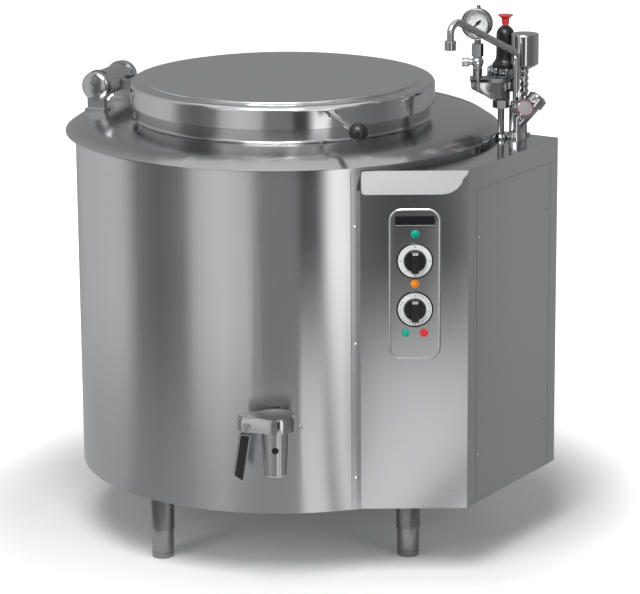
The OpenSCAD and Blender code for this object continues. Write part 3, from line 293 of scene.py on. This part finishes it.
def brushed_steel(name, colour, rough, grain, anisotropy=0.0, fine=900.0, contrast=0.035, bump=0.006):
    """Steel with a grain, "level" or "turned" about the upright axis through the origin."""
    finish, tree, shader = new_finish(name)
    shader.inputs["Metallic"].default_value = 1.0
    shader.inputs["Anisotropic"].default_value = anisotropy
    place = tree.nodes.new("ShaderNodeTexCoord").outputs["Object"]
    if grain == "turned":
        along = turned_grain(tree, place, fine)
    else:
        lay = tree.nodes.new("ShaderNodeMapping")
        lay.inputs["Scale"].default_value = (3, 3, fine)
        wire(tree, place, lay.inputs["Vector"])
        along = lay.outputs[0]
    scratch = tree.nodes.new("ShaderNodeTexNoise")
    scratch.inputs["Scale"].default_value = 1.0
    scratch.inputs["Detail"].default_value = 4.0
    scratch.inputs["Roughness"].default_value = 0.7
    wire(tree, along, scratch.inputs["Vector"])
    cloud = tree.nodes.new("ShaderNodeTexNoise")
    cloud.inputs["Scale"].default_value = 5.0
    cloud.inputs["Detail"].default_value = 2.0
    wire(tree, place, cloud.inputs["Vector"])
    both = tree.nodes.new("ShaderNodeMath")
    both.operation = "ADD"
    wire(tree, scratch.outputs["Fac"], both.inputs[0])
    wire(tree, cloud.outputs["Fac"], both.inputs[1])
    shade_from(tree, shader, scratch.outputs["Fac"], colour, contrast, 0.25)
    dull_from(tree, shader, both.outputs[0], rough, 0.15, 0.6, 1.4)
    relief_from(tree, shader, scratch.outputs["Fac"], bump, 0.001)
    if anisotropy:
        lean = tree.nodes.new("ShaderNodeTangent")
        lean.direction_type = "RADIAL"
        lean.axis = "Z"
        shader.inputs["Anisotropic Rotation"].default_value = 0.25
        wire(tree, lean.outputs[0], shader.inputs["Tangent"])
    return finish


def smooth_but_edges(work, sharp):
    """Every face is smooth, and edges that turn by sharp degrees or more, or are open, stay sharp."""
    for face in work.faces:
        face.smooth = True
    for rim in work.edges:
        rim.smooth = len(rim.link_faces) == 2 and rim.calc_face_angle(3.0) < math.radians(sharp)


def dress(node, finish, sharp=30.0, edge=0.0, crisp=False):
    """Shows a CAD node as a merged copy with smooth round faces and sharp edges.

    Where edge isn't 0, corners near a right angle are rounded by it. With crisp, the large
    faces keep their own normals, so that only the rounded strips shade across.
    """
    source = frame["nodes"][node].data
    mesh = bpy.data.meshes.new(node + "_dressed")
    mesh.from_pydata([v.co.copy() for v in source.vertices], [], [tuple(p.vertices) for p in source.polygons])
    work = bmesh.new()
    work.from_mesh(mesh)
    bmesh.ops.remove_doubles(work, verts=work.verts, dist=0.00001)
    if edge:
        bmesh.ops.dissolve_limit(work, angle_limit=math.radians(0.6), verts=work.verts, edges=work.edges)
        least, most = math.radians(40), math.radians(140)
        corners = [e for e in work.edges if len(e.link_faces) == 2 and least < e.calc_face_angle(0.0) < most]
        bmesh.ops.bevel(work, geom=corners, offset=edge, segments=2, affect="EDGES", profile=0.5,
                        clamp_overlap=True)
        sharp = 50.0
    smooth_but_edges(work, sharp)
    work.to_mesh(mesh)
    work.free()
    mesh.materials.append(finish)
    piece = bpy.data.objects.new(node + "_dressed", mesh)
    view.collection.objects.link(piece)
    if crisp:
        weights = piece.modifiers.new("face_weights", "WEIGHTED_NORMAL")
        weights.keep_sharp = True
        even = bpy.data.meshes.new_from_object(piece.evaluated_get(bpy.context.evaluated_depsgraph_get()))
        piece.modifiers.clear()
        piece.data = even
    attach(piece, body_of_node[node])
    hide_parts(node)
    return piece


# The tube steel is much darker than the casing's: painted shade, for the pan's shadow that the legs stand in
# and mirror
leg_steel_painted_shade = brushed_steel("leg_steel_painted_shade", (0.2, 0.2, 0.205), 0.26, "level")
foot_steel = brushed_steel("foot_steel", (0.26, 0.26, 0.265), 0.2, "level")
dress("leg_tubes", leg_steel_painted_shade)
for number in (1, 2, 3, 4):
    dress("foot_%d" % number, foot_steel, edge=0.0018, crisp=True)


# Casing: a wrapped stainless sheet with its grain running level round the pan, so that what it
# mirrors stretches up and down. The base plate closes it below, and mineral wool fills it.
casing_steel = brushed_steel("casing_steel", (0.56, 0.57, 0.58), 0.2, "level", anisotropy=0.5)
inner_steel = brushed_steel("inner_steel", (0.5, 0.51, 0.52), 0.3, "level")
dress("outer_casing", casing_steel)
dress("base_plate", inner_steel)
dress("drain_pipe", inner_steel)
dress("steam_jacket", inner_steel)


def plain_finish(name, colour, rough, metallic=0.0, coat=0.0, grain=900.0, contrast=0.08, bump=0.02):
    """A moulded, cast or plated finish with a little unevenness."""
    finish, tree, shader = new_finish(name)
    shader.inputs["Metallic"].default_value = metallic
    shader.inputs["Coat Weight"].default_value = coat
    shader.inputs["Coat Roughness"].default_value = 0.05
    place = tree.nodes.new("ShaderNodeTexCoord")
    speck = tree.nodes.new("ShaderNodeTexNoise")
    speck.inputs["Scale"].default_value = grain
    speck.inputs["Detail"].default_value = 3.0
    wire(tree, place.outputs["Object"], speck.inputs["Vector"])
    shade_from(tree, shader, speck.outputs["Fac"], colour, contrast, 0.3)
    dull_from(tree, shader, speck.outputs["Fac"], rough, 0.2)
    relief_from(tree, shader, speck.outputs["Fac"], bump, 0.0004)
    return finish


wool_mat = plain_finish("mineral_wool", (0.72, 0.66, 0.42), 0.95, grain=260.0, contrast=0.3, bump=0.6)
heater_sheath = plain_finish("heater_sheath", (0.34, 0.32, 0.3), 0.45, metallic=1.0)
dress("insulation", wool_mat)
dress("heating_elements", heater_sheath)


# Worktop: one spun stainless ring with a bevelled drip edge and a raised neck, satin finished
# with the grain running round it. The vessel is pressed, smooth inside and welded to the neck.
deck_steel = brushed_steel("deck_steel", (0.41, 0.415, 0.42), 0.2, "turned", anisotropy=0.7)
vessel_steel = brushed_steel("vessel_steel", (0.55, 0.56, 0.57), 0.28, "level",
                             fine=300.0, contrast=0.02, bump=0.001)
dress("top_deck", deck_steel, crisp=True)
dress("vessel", vessel_steel)


# Control box: folded stainless sheets with a satin grain, screwed to the casing. Its top sheet ends
# in a splash visor, and the side cover comes off by four screws.
panel_steel = brushed_steel("panel_steel", (0.55, 0.56, 0.565), 0.18, "level", bump=0.002)
box_top_steel = brushed_steel("box_top_steel", (0.5, 0.51, 0.52), 0.13, "level", contrast=0.05)
dress("front_panel", panel_steel)
dress("box_frame", panel_steel)
dress("side_cover", panel_steel)
dress("box_top", box_top_steel)
screw_steel = plain_finish("screw_steel", (0.6, 0.6, 0.61), 0.2, metallic=1.0)
dress("panel_screws", screw_steel)


# Control plate: a shallow pressed plate with round corners on the front of the box. It carries
# two grey dials with black knobs, and four moulded indicator lamps.
plate_steel = brushed_steel("plate_steel", (0.58, 0.585, 0.59), 0.2, "level", bump=0.002)
knob_black = plain_finish("knob_black", (0.008, 0.008, 0.009), 0.32)
dial_grey = plain_finish("dial_grey", (0.62, 0.64, 0.64), 0.35)
dress("control_plate", plate_steel, edge=0.0012, crisp=True)
dress("dial_rings", dial_grey)
dress("selector_knob", knob_black)
dress("thermostat_knob", knob_black)
dress("switch_gear", knob_black)
lens_colours = {"green_lamps": (0.0, 0.3, 0.22), "orange_lamp": (0.85, 0.26, 0.01),
                "red_lamp": (0.68, 0.02, 0.025)}
for node, colour in lens_colours.items():
    dress(node, plain_finish(node + "_lens", colour, 0.1, coat=0.6))


# Marks on the dials: each printed grey ring sits in a black glossy bezel and carries short ticks,
# and each knob has a hollow white mark near the top of its grip. They are printed, so very thin.
def placed(mesh, origin, across, up, out):
    """Moves a mesh drawn in X (across), Y (up) and Z (outwards) to its place on the pan."""
    turn = Matrix((Vector(across), Vector(up), Vector(out))).transposed().to_4x4()
    mesh.transform(Matrix.Translation(Vector(origin)) @ turn)


def faces_front(mesh, origin):
    """Places a mesh on a face that looks to the front."""
    placed(mesh, origin, (1, 0, 0), (0, 0, 1), (0, -1, 0))


def settle(name, mesh, finish, body):
    """Adds a piece that the CAD doesn't have, on the body that carries it."""
    piece = bpy.data.objects.new(name, mesh)
    view.collection.objects.link(piece)
    if not mesh.materials:
        mesh.materials.append(finish)
    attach(piece, body)


def tick_tree():
    """Ticks on an arc: clockwise from Start, seen from the front, with long ones at every Step."""
    tree = bpy.data.node_groups.new("dial_ticks", "GeometryNodeTree")
    for name, kind in (("Count", "Int"), ("Step", "Int"), ("Start", "Float"), ("Sweep", "Float"),
                       ("Radius", "Float"), ("Short", "Float"), ("Long", "Float"), ("Width", "Float"),
                       ("Thick", "Float"), ("Ink", "Material")):
        tree.interface.new_socket(name=name, in_out="INPUT", socket_type="NodeSocket" + kind)
    tree.interface.new_socket(name="Geometry", in_out="OUTPUT", socket_type="NodeSocketGeometry")
    add = tree.nodes.new
    given, result = add("NodeGroupInput").outputs, add("NodeGroupOutput")

    def sum_of(kind, a, b=None):
        node = add("ShaderNodeMath")
        node.operation = kind
        for socket, value in zip(node.inputs, (a, b)):
            if isinstance(value, (int, float)):
                socket.default_value = value
            elif value is not None:
                wire(tree, value, socket)
        return node.outputs[0]

    points = add("GeometryNodePoints")
    wire(tree, given["Count"], points.inputs["Count"])
    index = add("GeometryNodeInputIndex").outputs[0]
    share = sum_of("DIVIDE", index, sum_of("SUBTRACT", given["Count"], 1))
    angle = sum_of("ADD", given["Start"], sum_of("MULTIPLY", given["Sweep"], share))
    is_long = sum_of("LESS_THAN", sum_of("MODULO", index, given["Step"]), 0.5)
    longer = sum_of("SUBTRACT", given["Long"], given["Short"])
    length = sum_of("ADD", given["Short"], sum_of("MULTIPLY", is_long, longer))
    middle = sum_of("SUBTRACT", given["Radius"], sum_of("MULTIPLY", length, 0.5))
    spot = add("ShaderNodeCombineXYZ")
    wire(tree, sum_of("MULTIPLY", middle, sum_of("SINE", angle)), spot.inputs[0])
    wire(tree, sum_of("MULTIPLY", middle, sum_of("COSINE", angle)), spot.inputs[1])
    move = add("GeometryNodeSetPosition")
    wire(tree, points.outputs[0], move.inputs["Geometry"])
    wire(tree, spot.outputs[0], move.inputs["Position"])
    tick = add("GeometryNodeMeshCube")
    tick.inputs["Size"].default_value = (1, 1, 1)
    size = add("ShaderNodeCombineXYZ")
    wire(tree, given["Width"], size.inputs[0])
    wire(tree, length, size.inputs[1])
    wire(tree, given["Thick"], size.inputs[2])
    lean = add("ShaderNodeCombineXYZ")
    wire(tree, sum_of("MULTIPLY", angle, -1.0), lean.inputs[2])
    spread = add("GeometryNodeInstanceOnPoints")
    wire(tree, move.outputs[0], spread.inputs["Points"])
    wire(tree, tick.outputs[0], spread.inputs["Instance"])
    wire(tree, lean.outputs[0], spread.inputs["Rotation"])
    wire(tree, size.outputs[0], spread.inputs["Scale"])
    real = add("GeometryNodeRealizeInstances")
    wire(tree, spread.outputs[0], real.inputs[0])
    ink = add("GeometryNodeSetMaterial")
    wire(tree, real.outputs[0], ink.inputs["Geometry"])
    wire(tree, given["Ink"], ink.inputs["Material"])
    wire(tree, ink.outputs[0], result.inputs[0])
    return tree


def grown_mesh(name, tree, values):
    """The plain mesh that a Geometry Nodes tree makes from named values."""
    seed = bpy.data.objects.new(name, bpy.data.meshes.new(name))
    view.collection.objects.link(seed)
    maker = seed.modifiers.new("maker", "NODES")
    maker.node_group = tree
    for socket in tree.interface.items_tree:
        if socket.in_out == "INPUT" and socket.name in values:
            maker[socket.identifier] = values[socket.name]
    mesh = bpy.data.meshes.new_from_object(seed.evaluated_get(bpy.context.evaluated_depsgraph_get()))
    bpy.data.objects.remove(seed)
    mesh.name = name
    return mesh


def spun_mesh(name, outline, steps=64):
    """A closed turned shape. The outline is [radius, height], upwards on its outer side."""
    work = bmesh.new()
    circle = [2 * math.pi * i / steps for i in range(steps)]
    rows = []
    for radius, height in outline:
        ring = [(radius * math.cos(a), radius * math.sin(a), height) for a in circle]
        rows.append([work.verts.new(spot) for spot in (ring if radius > 0 else [(0, 0, height)])])
    for low, high in zip(rows, rows[1:]):
        for i in range(steps):
            k = (i + 1) % steps
            corners = [low[i % len(low)], low[k % len(low)], high[k % len(high)], high[i % len(high)]]
            corners = [c for n, c in enumerate(corners) if c not in corners[:n]]
            if len(corners) > 2:
                work.faces.new(corners)
    if outline[0] == outline[-1]:
        bmesh.ops.remove_doubles(work, verts=work.verts, dist=1e-7)
    bmesh.ops.recalc_face_normals(work, faces=work.faces)
    smooth_but_edges(work, 35)
    return finished(work, name)


def finished(work, name):
    mesh = bpy.data.meshes.new(name)
    work.to_mesh(mesh)
    work.free()
    return mesh


def bridged(work, low, high):
    """A band of faces from one closed row of corners to the next."""
    for i in range(len(low)):
        k = (i + 1) % len(low)
        work.faces.new((low[i], low[k], high[k], high[i]))


def arc_spot(radius, degrees):
    """A place on the knob's face, by its turn clockwise from the top."""
    return radius * math.sin(math.radians(degrees)), radius * math.cos(math.radians(degrees))


def hollow_mark():
    """A narrow closed band on the face of the grip, between two arcs."""
    far, near, half_turn, step, lift = 0.0215, 0.0178, 15, 5, 0.00025
    loop = [arc_spot(far, a) for a in range(-half_turn, half_turn + 1, step)]
    loop += [arc_spot(near, a) for a in range(half_turn, -half_turn - 1, -step)]
    middle = sum(y for x, y in loop) / len(loop)
    inner = [(x * 0.78, middle + (y - middle) * 0.45) for x, y in loop]
    work = bmesh.new()
    rows = [[work.verts.new((x, y, h)) for x, y in line]
            for line, h in ((loop, 0.0), (loop, lift), (inner, lift), (inner, 0.0))]
    for n in range(4):
        bridged(work, rows[n], rows[(n + 1) % 4])
    bmesh.ops.recalc_face_normals(work, faces=work.faces)
    return finished(work, "knob_mark")


ticks = tick_tree()
print_ink = plain_finish("print_ink", (0.05, 0.05, 0.055), 0.5)
print_white = plain_finish("print_white", (0.75, 0.75, 0.75), 0.5)
ring_low, ring_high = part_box("dial_rings")
dial_x = (ring_low.x + ring_high.x) / 2
print_lift, mark_lift = 0.00005, 0.00002
bezel_outline = [(0.0345, 0.0), (0.038, 0.0), (0.038, 0.0016), (0.0374, 0.0032), (0.0364, 0.0036),
                 (0.0352, 0.003), (0.0345, 0.002), (0.0345, 0.0)]
dial_scales = (("selector_knob", 4, 1, 270), ("thermostat_knob", 28, 3, 300))
for number, (node, count, step, sweep) in enumerate(dial_scales):
    low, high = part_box(node)
    dial_z = (low.z + high.z) / 2
    body = body_of_node[node]
    bezel = spun_mesh("bezel", bezel_outline)
    faces_front(bezel, (dial_x, ring_high.y, dial_z))
    settle("dial_bezel_%d" % number, bezel, knob_black, "pan")
    marks = grown_mesh("dial_marks_%d" % number, ticks, {
        "Count": count, "Step": step, "Start": 0.0, "Sweep": math.radians(sweep), "Radius": 0.0322,
        "Short": 0.003, "Long": 0.0048, "Width": 0.0013, "Thick": 0.0002, "Ink": print_ink})
    faces_front(marks, (dial_x, ring_low.y - print_lift, dial_z))
    settle("dial_marks_%d" % number, marks, print_ink, "pan")
    mark = hollow_mark()
    faces_front(mark, (dial_x, low.y - mark_lift, dial_z))
    settle("knob_mark_%d" % number, mark, print_white, body)


# Blank plate: the dark glossy label near the top of the control plate is left bare.
# It is an 81 by 20 mm moulded strip with a thin raised rim, glued on.
badge_half_width, badge_half_height, badge_corner = 0.0405, 0.0098, 0.0012
badge_drop = 0.0245


def badge_row(grow, height, arc_steps=4):
    """A closed row of corners round the label, grown outwards, at a height over the plate."""
    spots = []
    for side, level, start in ((1, -1, -90), (1, 1, 0), (-1, 1, 90), (-1, -1, 180)):
        for step in range(arc_steps + 1):
            a = math.radians(start + step * 90 / arc_steps)
            spots.append(((badge_half_width - badge_corner) * side + (badge_corner + grow) * math.cos(a),
                          (badge_half_height - badge_corner) * level + (badge_corner + grow) * math.sin(a),
                          height))
    return spots


badge_black = plain_finish("badge_black", (0.01, 0.01, 0.011), 0.12, coat=0.6)
work = bmesh.new()
rows = [[work.verts.new(spot) for spot in badge_row(grow, height)]
        for grow, height in ((0.0, 0.0), (0.0, 0.0013), (-0.0004, 0.0017), (-0.0009, 0.0013))]
for low_row, high_row in zip(rows, rows[1:]):
    bridged(work, low_row, high_row)
work.faces.new(rows[-1])
work.faces.new(list(reversed(rows[0])))
badge = finished(work, "blank_badge")
plate_low, plate_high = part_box("control_plate")
faces_front(badge, (dial_x, plate_low.y, plate_high.z - badge_drop))
settle("blank_badge", badge, badge_black, "pan")


# Lid: a spun stainless shell with a raised middle, turned grain and a polished skirt, on a liner.
# The handle is a chromed rod with a black ball.
lid_steel = brushed_steel("lid_steel", (0.56, 0.57, 0.58), 0.15, "turned", anisotropy=0.4)
chrome_plate = plain_finish("chrome_plate", (0.5, 0.505, 0.515), 0.08, metallic=1.0,
                            grain=300.0, contrast=0.03, bump=0.01)
dress("lid_shell", lid_steel, crisp=True)
dress("lid_liner", vessel_steel)
dress("lid_handle", chrome_plate)
dress("lid_ball", knob_black)


# Hinge: a balance spring in a turned barrel between two chromed caps, on pedestals that stand on
# the worktop. Two arms run from the barrel to the lid, brushed like the barrel.
barrel_steel = brushed_steel("barrel_steel", (0.52, 0.53, 0.54), 0.24, "level")
dress("hinge_pedestals", barrel_steel)
dress("hinge_barrel", barrel_steel)
dress("barrel_caps", chrome_plate)
dress("hinge_shaft", foot_steel)
dress("hinge_spring", heater_sheath)
dress("lid_arms", barrel_steel)


# Drain tap: a chromed cast body with a plug and a spout, and a lever that turns the plug.
# The grip hangs on a pin from the lever and carries a matt black insert.
cast_chrome = plain_finish("cast_chrome", (0.5, 0.505, 0.51), 0.2, metallic=1.0,
                           grain=300.0, contrast=0.05, bump=0.05)
plug_bronze = plain_finish("plug_bronze", (0.05, 0.045, 0.04), 0.4, metallic=1.0)
grip_black = plain_finish("grip_black", (0.004, 0.004, 0.0045), 0.6)
dress("tap_body", cast_chrome)
dress("tap_plug", plug_bronze)
lever = dress("tap_lever", chrome_plate)
# The cap's upper edge is well rounded: a loop is cut below it, and the edge itself moved in and down
cap_height, loop_drop, edge_in, edge_down = 0.030, 0.007, 0.004, 0.0008
cap_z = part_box("tap_lever")[0].z + cap_height
edge_low, edge_high = cap_z - 0.006, cap_z + 0.001
work = bmesh.new()
work.from_mesh(lever.data)
bmesh.ops.bisect_plane(work, geom=work.verts[:] + work.edges[:] + work.faces[:],
                       plane_co=(0, 0, cap_z - loop_drop), plane_no=(0, 0, 1))
work.normal_update()
moves = []
for vert in work.verts:
    walls = [f.normal for f in vert.link_faces if abs(f.normal.z) < 0.3 and f.normal.y < 0.35]
    tops = [f for f in vert.link_faces if f.normal.z > 0.6]
    if walls and tops and edge_low < vert.co.z < edge_high:
        out = sum(walls, Vector())
        out.z = 0
        if out.length > 0.1:
            moves.append((vert, out.normalized() * edge_in))
for vert, out in moves:
    vert.co -= out
    vert.co.z -= edge_down
work.normal_update()
smooth_but_edges(work, 62)
work.to_mesh(lever.data)
work.free()
dress("tap_grip", chrome_plate, edge=0.001, crisp=True)
dress("tap_pin", screw_steel, edge=0.0006)
dress("grip_insert", grip_black)


# Safety and water group: a cast manifold on a riser pipe, with a gauge behind glass, a cock, a safety
# valve and a filling cup, and a mixer with two knobs and a swivelling spout. Most of it is chromed.
dark_chrome = plain_finish("dark_chrome", (0.17, 0.17, 0.175), 0.14, metallic=1.0,
                           grain=120.0, contrast=0.15, bump=0.3)
gauge_white = plain_finish("gauge_white", (0.85, 0.86, 0.86), 0.4)
knob_red = plain_finish("knob_red", (0.62, 0.02, 0.02), 0.3, coat=0.3)
ring_red = plain_finish("ring_red", (0.42, 0.12, 0.15), 0.3)
face_satin = plain_finish("face_satin", (0.24, 0.235, 0.24), 0.35)
gauge_window, _, window_shader = new_finish("gauge_window")
window_shader.inputs["Transmission Weight"].default_value = 1.0
window_shader.inputs["Roughness"].default_value = 0.02
window_shader.inputs["IOR"].default_value = 1.1
dress("manifold", dark_chrome, edge=0.0035)
dress("riser_pipe", foot_steel)
dress("gauge_case", foot_steel)
dress("gauge_dial", gauge_white)
dress("gauge_pointer", knob_black)
gauge_turn = math.radians(24)
gauge_out = Vector((-math.sin(gauge_turn), -math.cos(gauge_turn), 0))
gauge_across = Vector((math.cos(gauge_turn), -math.sin(gauge_turn), 0))
gauge_low, gauge_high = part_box("gauge_dial")
dial_half = 0.00065
gauge_face = (gauge_low + gauge_high) / 2 + dial_half * gauge_out
gauge_marks = grown_mesh("gauge_marks", ticks, {
    "Count": 41, "Step": 5, "Start": math.radians(-135), "Sweep": math.radians(270), "Radius": 0.0238,
    "Short": 0.0024, "Long": 0.0046, "Width": 0.0008, "Thick": 0.0002, "Ink": print_ink})
placed(gauge_marks, gauge_face, gauge_across, (0, 0, 1), gauge_out)
settle("gauge_marks", gauge_marks, print_ink, "pan")
dress("gauge_glass", gauge_window)
for node in ("gauge_cock", "cock_knob", "cock_lever", "valve_body", "filling_cup", "cup_lid",
             "mixer_body", "hot_knob", "cold_knob", "swivel_spout"):
    dress(node, chrome_plate)
dress("valve_cap", knob_black)
dress("valve_knob", knob_red)
# The front knob has a satin face inside a dull red ring that marks the hot side
joints = {joint["name"]: joint for joint in frame["record"]["behaviour"]["joints"]}
knob_turn = joints["front_knob_turn"]
knob_out = Vector(knob_turn["axis"]).normalized()
knob_foot = Vector(knob_turn["pos_m"])
knob_reach = max((v.co - knob_foot).dot(knob_out) for v in frame["nodes"]["hot_knob"].data.vertices)
knob_across = Vector((0, 0, 1)).cross(knob_out).normalized()
knob_up = knob_out.cross(knob_across)
ring_outline = [(0.0141, -0.0004), (0.0158, -0.0004), (0.0158, 0.0001), (0.015, 0.0006), (0.0141, 0.0001),
                (0.0141, -0.0004)]
face_outline = [(0.0, -0.0004), (0.014, -0.0004), (0.014, 0.0001), (0.0132, 0.0004), (0.0, 0.0005)]
for name, outline, finish in (("hot_ring", ring_outline, ring_red), ("hot_face", face_outline, face_satin)):
    mesh = spun_mesh(name, outline, 48)
    placed(mesh, knob_foot + knob_reach * knob_out, knob_across, knob_up, knob_out)
    settle(name, mesh, finish, body_of_node["hot_knob"])
